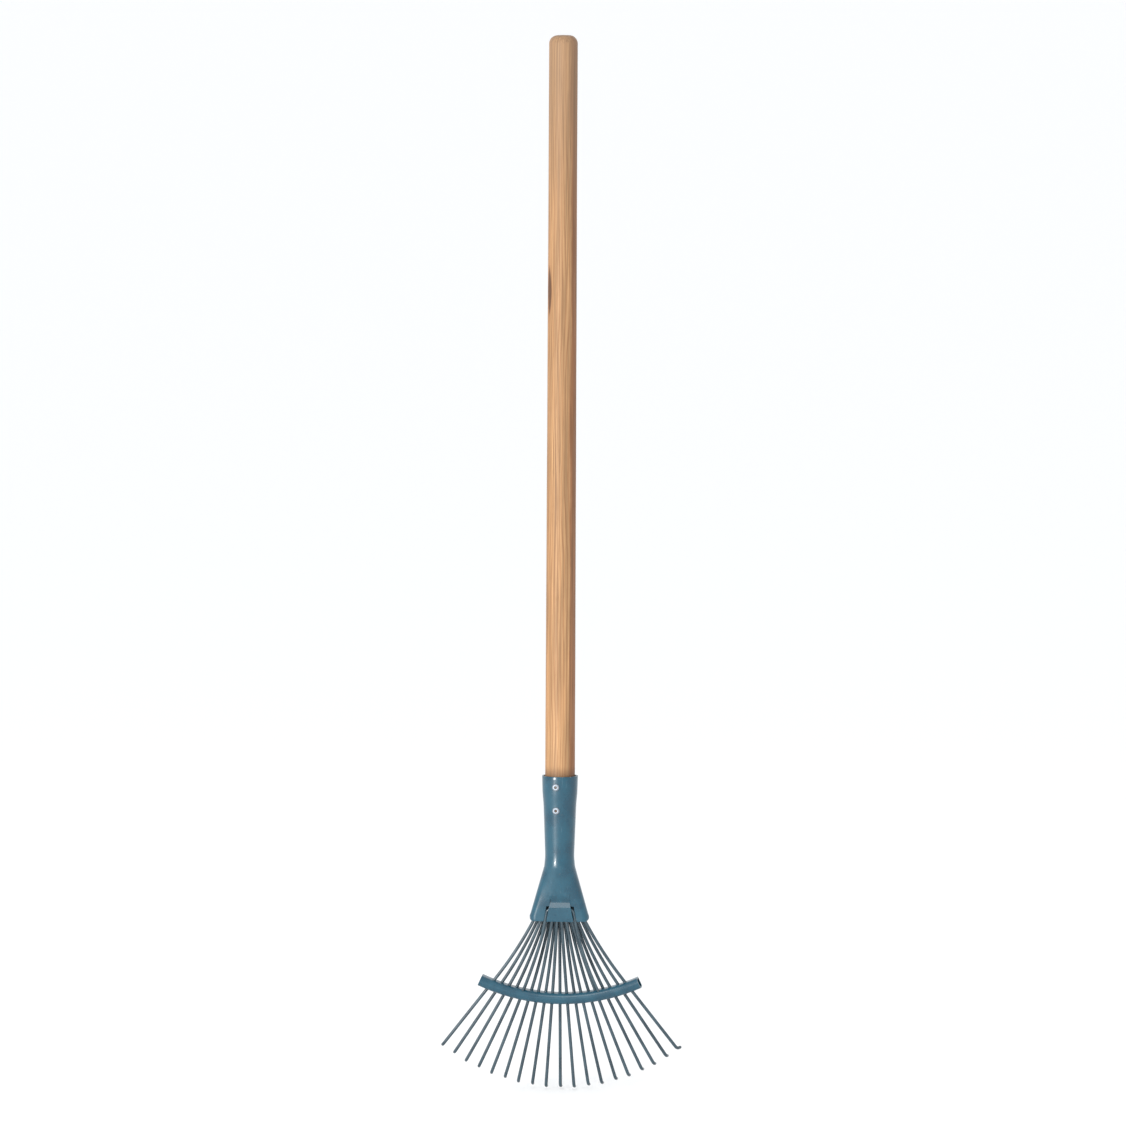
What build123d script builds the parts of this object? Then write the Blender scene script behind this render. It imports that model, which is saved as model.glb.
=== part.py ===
"""Leaf rake with wire tines: a wooden handle in a pressed steel socket, a fan of spring wires and a hollow crossbar.

Units are millimetres. +Z is up along the handle and -Y is the front. The origin is on the handle's axis, in the
middle of the straight grip near its top.
"""

from build123d import *
import os
from math import asin, atan, cos, degrees, radians, sin, sqrt, tan

# ---- handle -------------------------------------------------------------------------------------------------------
grip_diameter = 24.8        # straight part near the top
grip_length = 120.0         # half above and half below the origin
grip_to_top = 80.0          # origin to the top end
top_rounding = 7.0          # radius round the top end
handle_showing = 640.0      # top end to the socket's rim
handle_diameter = 25.9      # where it enters the socket
handle_insertion = 64.0     # length inside the socket
handle_end_chamfer = 1.0

# ---- socket -------------------------------------------------------------------------------------------------------
sheet = 1.2                 # steel sheet of the socket and of the crossbar
rim_diameter = 31.0         # outside diameters
collar_diameter = 30.2
neck_diameter = 25.0
crease_diameter = 26.6
rim_to_collar = 15.0        # the collar ends and the tube draws in
rim_to_tube = 25.0          # the tube grips the handle from here down
rim_to_neck = 70.0
rim_to_crease = 78.5        # the tube ends and the flattened flare begins
rim_to_shoulder = 122.5     # the flare has reached its full width
rim_to_mouth = 126.4        # lower edge
mouth_side_room = 0.32      # inside, between the outermost tines and either side of the mouth
mouth_room = 9.6            # inside, front to back
side_arc = 70.0             # degrees of the round crease that run down into either side of the mouth
mouth_corner = 3.4          # the lower corners are rounded off, seen from the front

# ---- rivets -------------------------------------------------------------------------------------------------------
rivet_diameter = 3.2
rivet_head_diameter = 6.4
rivet_head_height = 1.3
rivet_dome = 1.0            # rounding of the head's edge
rivet_length = 9.0          # below the head
rivet_bore = 1.9            # hole through the body, filled by the mandrel stub
mandrel_recess = 0.5        # the stub ends this far below the top of the head
rim_to_rivet = 9.0
rivet_spacing = 20.5
rivet_turn = 8.0            # degrees; both rivets stand this far left of the front
rivet_names = ("upper", "lower")

# ---- tines --------------------------------------------------------------------------------------------------------
tine_count = 19
tine_diameter = 2.8
tine_step = 4.22            # degrees between neighbours, below the crossbar
fan_radius = 168.5          # from the point where the straight tines would meet to their lowest points
rim_to_fan_centre = 106.5   # height of that point
fan_lean = 4.5              # degrees; the fan leans back as it goes down
row_offset = 1.6            # the tines stand alternately this far in front of and behind the middle of the fan
spring_length = 60.0        # curved stretch from the crossbar to the mouth
spring_share = 0.27         # share of a tine's angle that this stretch takes up
straight_in_mouth = 11.5
root_bend_radius = 20.0
root_above_centre = 8.0     # upper ends of the wires, above the fan's centre
hook_radius = 3.0
hook_angle = 75.0
hook_length = 3.5           # straight end of the hook
outer_splay = 24.0          # use has turned the hook of the outermost tine on the right outwards by this angle
tip_rounding = 0.9
flex_gap = 0.5              # between the fixed and the moving length of each wire

# ---- crossbar -----------------------------------------------------------------------------------------------------
bar_height = 9.6            # outside, along the tines
bar_depth = 13.0            # front to back
bar_front = 7.4             # front of the bar, in front of the middle of the fan
bar_radius = 166.0          # of its middle line
bar_below_centre = 88.3     # its middle line is this far below the fan's centre, on the axis
bar_half_chord = 69.3       # from the axis to either end
bar_front_bend = 4.6        # radius outside the two long front edges
bar_back_bend = 2.0         # radius outside the two long back edges
bar_slip = 0.1              # radial clearance of the tines in the bar's upper wall
bar_swing_room = 0.4        # radial clearance of the tines in the bar's lower wall
bar_straight = 3.0          # the tines are straight this far above it

# ---- tongue and brace wire ----------------------------------------------------------------------------------------
brace_diameter = 2.3
brace_fit = 0.15            # clearance of the brace wire in the slots and under the tongue
brace_to_tines = 0.5        # clearance in front of the tines at the crossbar
brace_half_span = 34.0      # from the middle of the brace to either leg at the crossbar
brace_corner_radius = 3.0
brace_in_bar = 3.5          # the legs end this far below the top of the crossbar
bridge_height = 10.5        # the brace's cross piece, above the mouth
tongue_shift = 1.2          # the tongue and the brace stand this far right of the axis
tongue_height = 11.7        # flat part of the tongue, from the mouth up
ledge_height = 5.6          # sloping step above it
dent_height = 5.2           # hollow above the step
dent_depth = 1.6
tongue_top_width = 17.0     # at the top of the step
tongue_bottom_width = 23.6  # at the mouth

# ---- tine plate ---------------------------------------------------------------------------------------------------
plate_thickness = 1.6
plate_above_centre = 6.0

# ---- worked out ---------------------------------------------------------------------------------------------------
rim_z = grip_to_top - handle_showing
collar_z = rim_z - rim_to_collar
tube_z = rim_z - rim_to_tube
neck_z = rim_z - rim_to_neck
crease_z = rim_z - rim_to_crease
shoulder_z = rim_z - rim_to_shoulder
mouth_z = rim_z - rim_to_mouth
fan_z = rim_z - rim_to_fan_centre
handle_end_z = rim_z - handle_insertion
mouth_depth = mouth_room + 2 * sheet
tine_radius = tine_diameter / 2
brace_radius = brace_diameter / 2
half_count = tine_count // 2

os.makedirs("parts", exist_ok=True)


def save(piece, name):
    """Label a finished piece and write it as its own STEP file."""
    piece.label = name
    export_step(piece, f"parts/{name}.step")


# ---- handle -------------------------------------------------------------------------------------------------------
# The handle fills the socket's tube from tube_z down, so both taper along the same line.
tube_taper = (handle_diameter / 2 + sheet - neck_diameter / 2) / (tube_z - neck_z)
handle_end_radius = handle_diameter / 2 - tube_taper * (tube_z - handle_end_z)


def rivet_plane(number):
    """On the outside of the socket, facing outwards, where a rivet goes through."""
    height = rim_z - rim_to_rivet - number * rivet_spacing
    outline = [(rim_z, rim_diameter), (collar_z, collar_diameter), (tube_z, handle_diameter + 2 * sheet)]
    outline.append((neck_z, neck_diameter))
    for (upper, wide), (lower, narrow) in zip(outline, outline[1:]):
        if lower <= height <= upper:
            share = (upper - height) / (upper - lower)
            radius = (wide + (narrow - wide) * share) / 2
    outwards = Vector(0, -1, 0).rotate(Axis.Z, -rivet_turn)
    return Plane(origin=radius * outwards + Vector(0, 0, height), x_dir=Vector(0, 0, 1).cross(outwards), z_dir=outwards)


with BuildPart() as handle:
    with BuildSketch(Plane.XZ):
        with BuildLine():
            grip_radius = grip_diameter / 2
            Polyline(
                (0, handle_end_z),
                (handle_end_radius, handle_end_z),
                (handle_diameter / 2, tube_z),
                (handle_diameter / 2, rim_z),
                (grip_radius, -grip_length / 2),
                (grip_radius, grip_to_top - top_rounding),
            )
            RadiusArc(
                (grip_radius, grip_to_top - top_rounding),
                (grip_radius - top_rounding, grip_to_top),
                -top_rounding,
            )
            Polyline((grip_radius - top_rounding, grip_to_top), (0, grip_to_top), (0, handle_end_z))
        make_face()
    revolve(axis=Axis.Z)
    chamfer(handle.faces().sort_by(Axis.Z)[0].edges(), handle_end_chamfer)
    for number in range(len(rivet_names)):
        with BuildSketch(rivet_plane(number).offset(rivet_head_height)):
            Circle(rivet_diameter / 2)
        extrude(amount=-rivet_head_height - rivet_length, mode=Mode.SUBTRACT)
save(handle.part, "handle")


# ---- fan ----------------------------------------------------------------------------------------------------------
# The fan stands in one leaning plane: x to the right, y up the fan and z forwards, from the fan's centre.
lean = radians(fan_lean)
fan_plane = Plane(origin=(0, 0, fan_z), x_dir=(1, 0, 0), z_dir=(0, -cos(lean), -sin(lean)))
bar_centre = bar_radius - bar_below_centre          # the crossbar bends about this height in the fan's plane


def fan_way(x, y, z):
    """A direction given in the fan's plane."""
    return x * fan_plane.x_dir + y * fan_plane.y_dir + z * fan_plane.z_dir


def along_ray(angle, radius):
    """Distance along a tine's ray, from the fan's centre to where it is this far from the crossbar's centre."""
    return sqrt(radius ** 2 - (bar_centre * sin(angle)) ** 2) - bar_centre * cos(angle)


class Tine:
    """Where one of the wires runs, counted from the middle: negative numbers stand on the left."""

    def __init__(self, number):
        self.degrees = number * tine_step
        self.angle = radians(self.degrees)
        self.plane = fan_plane.offset(row_offset if number % 2 else -row_offset)
        self.pivot = along_ray(self.angle, bar_radius + (bar_height - sheet) / 2)
        self.above_bar = along_ray(self.angle, bar_radius - bar_height / 2) - bar_straight
        self.splay = radians(outer_splay) if number == half_count else 0.0
        self.name = f"{number + half_count + 1:02d}"

    def point(self, distance):
        """A point of the ray, in the tine's plane."""
        return (distance * sin(self.angle), -distance * cos(self.angle))

    def across(self, distance):
        """A plane across the ray, facing up it."""
        origin = self.plane.from_local_coords(self.point(distance))
        up = self.plane.from_local_coords(self.point(distance - 1)) - origin
        return Plane(origin=origin, z_dir=up)


tines = [Tine(number) for number in range(-half_count, half_count + 1)]

tine_roots = []
for tine in tines:
    with BuildPart() as tine_root:
        with BuildLine(tine.plane):
            foot = Line(tine.point(tine.pivot - flex_gap), tine.point(tine.above_bar))
            if tine.angle:
                spring_turn = spring_share * tine.degrees
                spring_radius = spring_length / abs(radians(spring_turn))
                spring = JernArc(foot @ 1, foot % 1, spring_radius, -spring_turn)
                middle = Line(spring @ 1, spring @ 1 + straight_in_mouth * (spring % 1))
                bend = JernArc(middle @ 1, middle % 1, root_bend_radius, spring_turn - tine.degrees)
                top = tine.plane.to_local_coords(bend @ 1)
                Line((top.X, top.Y), (top.X, root_above_centre))
            else:
                Line(tine.point(tine.above_bar), (0, root_above_centre))
        with BuildSketch(tine.across(tine.pivot - flex_gap)):
            Circle(tine_radius)
        sweep()
    tine_roots.append(tine_root.part)
    save(tine_root.part, f"tine_root_{tine.name}")

# The last of them is the outermost. It straightens in the mouth, which is as wide as the fan is there.
mouth_spread = fan_plane.to_local_coords(spring @ 1).X + tine_radius / cos(tine.angle - radians(spring_turn))
mouth_width = 2 * (mouth_spread + mouth_side_room + sheet)

for tine in tines:
    hook_turn = radians(hook_angle)
    hook_reach = hook_radius * sin(hook_turn) + hook_length * cos(hook_turn) + tine_radius * sin(hook_turn)
    straight = fan_radius - hook_reach - tine.pivot
    top = tine.across(tine.pivot)
    sideways = sin(tine.splay)
    hook_way = fan_way(sideways * cos(tine.angle), sideways * sin(tine.angle), -cos(tine.splay))
    hook_plane = Plane(origin=top.origin, x_dir=-top.z_dir, z_dir=hook_way.cross(top.z_dir))
    with BuildPart() as tine_wire:
        with BuildLine(hook_plane):
            shank = Line((0, 0), (straight, 0))
            bend = JernArc(shank @ 1, shank % 1, hook_radius, hook_angle)
            Line(bend @ 1, bend @ 1 + hook_length * (bend % 1))
        with BuildSketch(top):
            Circle(tine_radius)
        sweep()
        tip = tine_wire.faces().filter_by(GeomType.PLANE).sort_by_distance(top.origin)[-1]
        fillet(tip.edges(), tip_rounding)
    save(tine_wire.part, f"tine_{tine.name}")


# ---- brace wire ---------------------------------------------------------------------------------------------------
# It lies in one plane, from the middle of the flare's front wall at the mouth to just in front of the tines.
def bar_drop(x):
    """How far below the fan's centre the crossbar's upper face is, at a distance from the axis."""
    return sqrt((bar_radius - bar_height / 2) ** 2 - x ** 2) - bar_centre


brace_end_drop = bar_drop(brace_half_span) + brace_in_bar
brace_end_ahead = row_offset + tine_radius + brace_to_tines + brace_radius
brace_end = fan_plane.from_local_coords((0, -brace_end_drop, brace_end_ahead))
brace_top = Vector(tongue_shift, (sheet - mouth_depth) / 2, mouth_z)
brace_lean = atan((brace_end.Y - brace_top.Y) / (brace_top.Z - brace_end.Z))
brace_plane = Plane(origin=brace_top, x_dir=(1, 0, 0), z_dir=(0, -cos(brace_lean), -sin(brace_lean)))
brace_drop = (brace_top.Z - brace_end.Z) / cos(brace_lean)

tongue_slope = atan((tongue_bottom_width - tongue_top_width) / 2 / (tongue_height + ledge_height))
leg_at_mouth = tongue_bottom_width / 2 + (brace_radius + brace_fit) / cos(tongue_slope)
leg_at_bridge = leg_at_mouth - bridge_height * tan(tongue_slope)
leg_turn = 2 * (atan((brace_half_span - leg_at_mouth) / brace_drop) - tongue_slope)
leg_radius = brace_drop / (sin(tongue_slope + leg_turn) - sin(tongue_slope))

brace_feet = []
with BuildPart() as brace_wire:
    with BuildLine(brace_plane):
        FilletPolyline(
            (-leg_at_mouth, 0),
            (-leg_at_bridge, bridge_height),
            (leg_at_bridge, bridge_height),
            (leg_at_mouth, 0),
            radius=brace_corner_radius,
        )
        for side in (-1, 1):
            way = (side * sin(tongue_slope), -cos(tongue_slope))
            leg = JernArc((side * leg_at_mouth, 0), way, leg_radius, side * degrees(leg_turn))
            brace_feet.append(Plane(origin=leg @ 1, z_dir=-(leg % 1)))
    with BuildSketch(brace_feet[0]):
        Circle(brace_radius)
    sweep()
save(brace_wire.part, "brace_wire")


# ---- crossbar -----------------------------------------------------------------------------------------------------
half_turn = asin(bar_half_chord / bar_radius)
bar_axis = Axis(fan_plane.from_local_coords((0, bar_centre, 0)), fan_plane.z_dir)
bar_end = Plane(
    origin=fan_plane.from_local_coords((-bar_half_chord, bar_centre - bar_radius * cos(half_turn), 0)),
    x_dir=fan_way(-sin(half_turn), -cos(half_turn), 0),
    z_dir=fan_way(-cos(half_turn), sin(half_turn), 0),
)


def bar_section(inset):
    """The crossbar's outline at its left end, or the outline of the space inside it."""
    with BuildSketch(bar_end) as section:
        with Locations((0, bar_front - bar_depth / 2)):
            Rectangle(bar_height - 2 * inset, bar_depth - 2 * inset)
        fillet(section.vertices().group_by(Axis.Y)[-1], bar_front_bend - inset)
        fillet(section.vertices().group_by(Axis.Y)[0], bar_back_bend - inset)
    return section.sketch


with BuildPart() as crossbar:
    add(bar_section(0.0))
    revolve(axis=bar_axis, revolution_arc=2 * degrees(half_turn))
    add(bar_section(sheet))
    revolve(axis=bar_axis, revolution_arc=2 * degrees(half_turn), mode=Mode.SUBTRACT)
    for tine in tines:
        with BuildSketch(tine.across(tine.pivot - bar_height / 2)):
            Circle(tine_radius + bar_slip)
        extrude(amount=bar_height, mode=Mode.SUBTRACT)
    for tine in tines:
        with BuildSketch(tine.across(tine.pivot)):
            Circle(tine_radius + bar_swing_room)
        extrude(amount=2 * sheet, both=True, mode=Mode.SUBTRACT)
    for foot in brace_feet:
        with BuildSketch(foot):
            Circle(brace_radius + brace_fit)
        extrude(amount=brace_in_bar + 2 * sheet, mode=Mode.SUBTRACT)
save(crossbar.part, "crossbar")


# ---- socket -------------------------------------------------------------------------------------------------------
def socket_body(inset, overrun):
    """The socket's outer form with no inset, or the space inside it; overrun takes it past the rim and the mouth."""
    with BuildPart() as body:
        with BuildSketch(Plane.XZ):
            with BuildLine():
                Polyline(
                    (0, rim_z + overrun),
                    (rim_diameter / 2 - inset, rim_z + overrun),
                    (collar_diameter / 2 - inset, collar_z),
                    (handle_diameter / 2 + sheet - inset, tube_z),
                    (neck_diameter / 2 - inset, neck_z),
                    (crease_diameter / 2 - inset, crease_z),
                    (0, crease_z),
                    close=True,
                )
            make_face()
        revolve(axis=Axis.Z)
        with BuildSketch(Plane.XY.offset(crease_z)):
            with BuildLine():
                for middle, size in ((0, side_arc), (90, 180 - side_arc), (180, side_arc), (270, 180 - side_arc)):
                    CenterArc((0, 0), crease_diameter / 2 - inset, middle - size / 2, size)
            make_face()
        with BuildSketch(Plane.XY.offset(shoulder_z)) as mouth:
            SlotOverall(mouth_width - 2 * inset, mouth_depth - 2 * inset)
        loft(ruled=True)
        add(mouth.sketch)
        extrude(amount=mouth_z - shoulder_z - overrun)
    return body.part


socket_form = socket_body(0.0, 0.0)
socket_space = socket_body(sheet, 1.0)

# The tongue is a strip of the front wall: it steps in, comes out over the brace wire and runs down to the mouth.
foot_z = mouth_z - sheet                # the strip and its window are cut off level at the mouth
ledge_z = mouth_z + tongue_height
dent_z = ledge_z + ledge_height
strip_top_z = dent_z + dent_height
slot_width = brace_diameter + 2 * brace_fit


def front_wall(z):
    """Depth of the flare's front face at a height."""
    share = (z - shoulder_z) / (crease_z - shoulder_z)
    return -(mouth_depth + (crease_diameter - mouth_depth) * share) / 2


def tongue_face(z):
    """Depth of the tongue's outer face at a height."""
    return brace_top.Y - (z - mouth_z) * tan(brace_lean) - (brace_radius + brace_fit + sheet) / cos(brace_lean)


def tongue_edge(z):
    """Half the tongue's width at a height, up to the top of the step."""
    return tongue_bottom_width / 2 - (z - mouth_z) * tan(tongue_slope)


with BuildPart() as tongue:
    with BuildSketch(Plane.YZ.offset(tongue_shift)):
        with BuildLine():
            face = [
                (tongue_face(foot_z), foot_z),
                (tongue_face(ledge_z), ledge_z),
                (front_wall(dent_z) + dent_depth, dent_z),
                (front_wall(strip_top_z), strip_top_z),
                (front_wall(strip_top_z + sheet), strip_top_z + sheet),
            ]
            Polyline(*face, *[(depth + sheet, z) for depth, z in reversed(face)], close=True)
        make_face()
    extrude(amount=tongue_bottom_width, both=True)
    with BuildSketch(Plane.XZ):
        with BuildLine():
            left, right = (
                [
                    (tongue_shift + side * tongue_edge(foot_z), foot_z),
                    (tongue_shift + side * tongue_edge(dent_z), dent_z),
                    (tongue_shift + side * tongue_edge(dent_z), strip_top_z + sheet),
                ]
                for side in (-1, 1)
            )
            Polyline(*left, *reversed(right), close=True)
        make_face()
    extrude(amount=rim_diameter, mode=Mode.INTERSECT)

with BuildPart() as socket:
    add(socket_form)
    add(socket_space, mode=Mode.SUBTRACT)
    with BuildSketch(Plane.XZ):
        with BuildLine():
            left, right = (
                [
                    (tongue_shift + side * (tongue_edge(foot_z) + slot_width), foot_z),
                    (tongue_shift + side * (tongue_edge(dent_z) + slot_width), dent_z),
                    (tongue_shift + side * tongue_edge(dent_z), dent_z),
                    (tongue_shift + side * tongue_edge(dent_z), strip_top_z),
                ]
                for side in (-1, 1)
            )
            Polyline(*left, *reversed(right), close=True)
        make_face()
    extrude(amount=rim_diameter, mode=Mode.SUBTRACT)
    add(tongue.part)
    with BuildSketch(Plane.XZ) as front_view:
        with Locations((0, (rim_z + mouth_z) / 2)):
            Rectangle(mouth_width, rim_z - mouth_z)
        fillet(front_view.vertices().group_by(Axis.Y)[0], mouth_corner)
    extrude(amount=rim_diameter, both=True, mode=Mode.INTERSECT)
    for number in range(len(rivet_names)):
        with BuildSketch(rivet_plane(number).offset(rivet_head_height)):
            Circle(rivet_diameter / 2)
        extrude(amount=-rivet_head_height - rivet_length, mode=Mode.SUBTRACT)
save(socket.part, "socket")


# ---- rivets -------------------------------------------------------------------------------------------------------
for number, place in enumerate(rivet_names):
    seat = rivet_plane(number)
    with BuildPart() as rivet:
        with BuildSketch(seat.offset(-sheet)):
            Circle(rivet_head_diameter / 2)
        extrude(amount=sheet + rivet_head_height)
        fillet(rivet.faces().sort_by(Axis.Y)[0].edges(), rivet_dome)
        add(socket_form, mode=Mode.SUBTRACT)
        with BuildSketch(seat):
            Circle(rivet_diameter / 2)
        extrude(amount=-rivet_length)
        with BuildSketch(seat.offset(rivet_head_height)):
            Circle(rivet_bore / 2)
        extrude(amount=-rivet_length - rivet_head_height, mode=Mode.SUBTRACT)
    save(rivet.part, f"rivet_{place}")
    with BuildPart() as mandrel:
        with BuildSketch(seat.offset(rivet_head_height - mandrel_recess)):
            Circle(rivet_bore / 2)
        extrude(amount=-rivet_length - rivet_head_height + mandrel_recess)
    save(mandrel.part, f"mandrel_{place}")


# ---- tine plate ---------------------------------------------------------------------------------------------------
with BuildPart() as tine_plate:
    add(socket_space)
    with BuildSketch(Plane.XY.offset(fan_z + plate_above_centre)):
        Rectangle(mouth_width, rim_diameter)
    extrude(amount=-plate_thickness, mode=Mode.INTERSECT)
    for root in tine_roots:
        add(root, mode=Mode.SUBTRACT)
save(tine_plate.part, "tine_plate")
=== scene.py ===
# %% [markdown]
# # A leaf rake, built around its CAD frame
#
# The rake is a wooden handle in a pressed steel socket, with nineteen spring wires that fan out through a
# curved crossbar. The frame already holds every piece at its true size, so this lesson adds what a
# drawing leaves out: rounded sheet edges, wire that bends, wood grain, enamel and wear. Lengths are
# written in millimetres and turned into Blender's metres where they are used.

# %% Load the frame
import math

import bmesh
import bpy
from mathutils import Matrix, Vector, noise


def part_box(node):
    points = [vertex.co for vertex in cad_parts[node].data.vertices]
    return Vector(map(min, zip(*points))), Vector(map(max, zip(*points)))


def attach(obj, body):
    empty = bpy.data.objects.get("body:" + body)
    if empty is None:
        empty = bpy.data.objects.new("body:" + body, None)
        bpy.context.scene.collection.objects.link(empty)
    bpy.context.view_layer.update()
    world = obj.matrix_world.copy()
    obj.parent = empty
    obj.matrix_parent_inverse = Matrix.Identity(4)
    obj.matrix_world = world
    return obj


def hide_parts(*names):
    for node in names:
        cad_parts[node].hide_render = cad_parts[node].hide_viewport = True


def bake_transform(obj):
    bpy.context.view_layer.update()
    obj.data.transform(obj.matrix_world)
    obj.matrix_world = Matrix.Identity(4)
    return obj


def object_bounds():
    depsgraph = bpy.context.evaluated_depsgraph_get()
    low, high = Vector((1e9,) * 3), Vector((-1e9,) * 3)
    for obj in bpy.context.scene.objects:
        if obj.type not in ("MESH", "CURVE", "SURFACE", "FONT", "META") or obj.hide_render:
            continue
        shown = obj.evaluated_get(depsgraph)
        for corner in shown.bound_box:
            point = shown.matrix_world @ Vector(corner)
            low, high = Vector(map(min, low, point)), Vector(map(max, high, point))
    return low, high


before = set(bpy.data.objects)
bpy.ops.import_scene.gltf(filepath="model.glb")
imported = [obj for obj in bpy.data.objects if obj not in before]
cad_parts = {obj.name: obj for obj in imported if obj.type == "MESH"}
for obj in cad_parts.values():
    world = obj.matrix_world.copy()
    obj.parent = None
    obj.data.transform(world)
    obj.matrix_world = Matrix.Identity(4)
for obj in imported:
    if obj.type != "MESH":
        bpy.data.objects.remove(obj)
cad_low, cad_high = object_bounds()
mm = 0.001
print("frame from", tuple(cad_low), "to", tuple(cad_high))

# %% [markdown]
# ## Camera
#
# A tall thin object is best seen from far away through a long lens: its sides stay parallel and the fan
# of wires keeps its true proportions. The camera stands a little to the right of the front and looks
# slightly down. It is made first, because every later choice of light and finish is judged through it.

# %% Camera
camera_distance = 12.0
camera_azimuth = math.radians(6.0)
camera_elevation = math.radians(5.0)
camera_roll = math.radians(0.27)
field_height = 0.9718
aim = Vector((0.0017, 0.0, -0.3757))

towards_camera = Vector((
    math.sin(camera_azimuth) * math.cos(camera_elevation),
    -math.cos(camera_azimuth) * math.cos(camera_elevation),
    math.sin(camera_elevation),
))
camera_data = bpy.data.cameras.new("camera")
camera_data.sensor_width = 36.0
camera_data.lens = camera_data.sensor_width * camera_distance / field_height
camera_data.clip_end = 100.0
camera = bpy.data.objects.new("camera", camera_data)
bpy.context.collection.objects.link(camera)
camera.location = aim + towards_camera * camera_distance
facing = (-towards_camera).to_track_quat("-Z", "Y").to_matrix()
camera.rotation_euler = (facing @ Matrix.Rotation(camera_roll, 3, "Z")).to_euler()
bpy.context.scene.camera = camera
print("camera at", tuple(camera.location), "lens", round(camera_data.lens))

# %% [markdown]
# ## Light and floor
#
# A white studio is mostly even light from all round. One small lamp on the left, at the height of the
# fan, adds the narrow highlights that tell the eye that the paint is glossy, and a wide weak one above it
# keeps the upper faces bright. The floor is a large pale disc, so that no horizon shows behind the
# handle.

# %% Light and floor
scene = bpy.context.scene
scene.view_settings.view_transform = "Standard"

world = bpy.data.worlds.new("studio")
scene.world = world
world.use_nodes = True
world.node_tree.nodes["Background"].inputs["Color"].default_value = (0.97, 0.985, 1.0, 1.0)
world.node_tree.nodes["Background"].inputs["Strength"].default_value = 1.08


def lamp(name, place, target, size, power, colour):
    """A round soft lamp at a place, turned to face a target."""
    data = bpy.data.lights.new(name, "AREA")
    data.shape = "DISK"
    data.size = size
    data.energy = power
    data.color = colour
    made = bpy.data.objects.new(name, data)
    bpy.context.collection.objects.link(made)
    made.location = place
    made.rotation_euler = (Vector(target) - Vector(place)).to_track_quat("-Z", "Y").to_euler()
    return made


fan_middle = (0.0, 0.0, -0.65)
key_lamp = lamp("key", (-1.13, -2.0, -0.45), fan_middle, 0.15, 31.0, (1.0, 0.98, 0.95))
top_lamp = lamp("top", (-0.6, -1.9, 1.3), fan_middle, 1.2, 14.0, (1.0, 0.99, 0.97))

# %% [markdown]
# ## A short way to write materials
#
# Node trees made by hand soon turn into pages of links. Here a socket is wrapped in a small class whose
# plus, minus and times signs add Math nodes, and every other node comes from one method. A finish then
# reads like a recipe.

# %% Sockets that do arithmetic
class Value:
    """One output socket. Arithmetic on it adds Math nodes to its material."""

    def __init__(self, finish, socket):
        self.finish = finish
        self.socket = socket

    def maths(self, operation, first, second=0.0):
        return self.finish.node("ShaderNodeMath", {"operation": operation}, {0: first, 1: second})

    def __add__(self, other):
        return self.maths("ADD", self, other)

    def __sub__(self, other):
        return self.maths("SUBTRACT", self, other)

    def __rsub__(self, other):
        return self.maths("SUBTRACT", other, self)

    def __mul__(self, other):
        return self.maths("MULTIPLY", self, other)

    def __truediv__(self, other):
        return self.maths("DIVIDE", self, other)

    def __pow__(self, other):
        return self.maths("POWER", self, other)

    def __abs__(self):
        return self.maths("ABSOLUTE", self)

    def sine(self):
        return self.maths("SINE", self)

    __radd__ = __add__
    __rmul__ = __mul__


# %% [markdown]
# A `Finish` is one material. `node` adds a node: its settings are put in place first, because some of
# them change which sockets the node has, and then its sockets get values or links. The other methods are
# the few steps that most finishes share: noise, a soft step, a mix of two colours and a bump.

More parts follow.
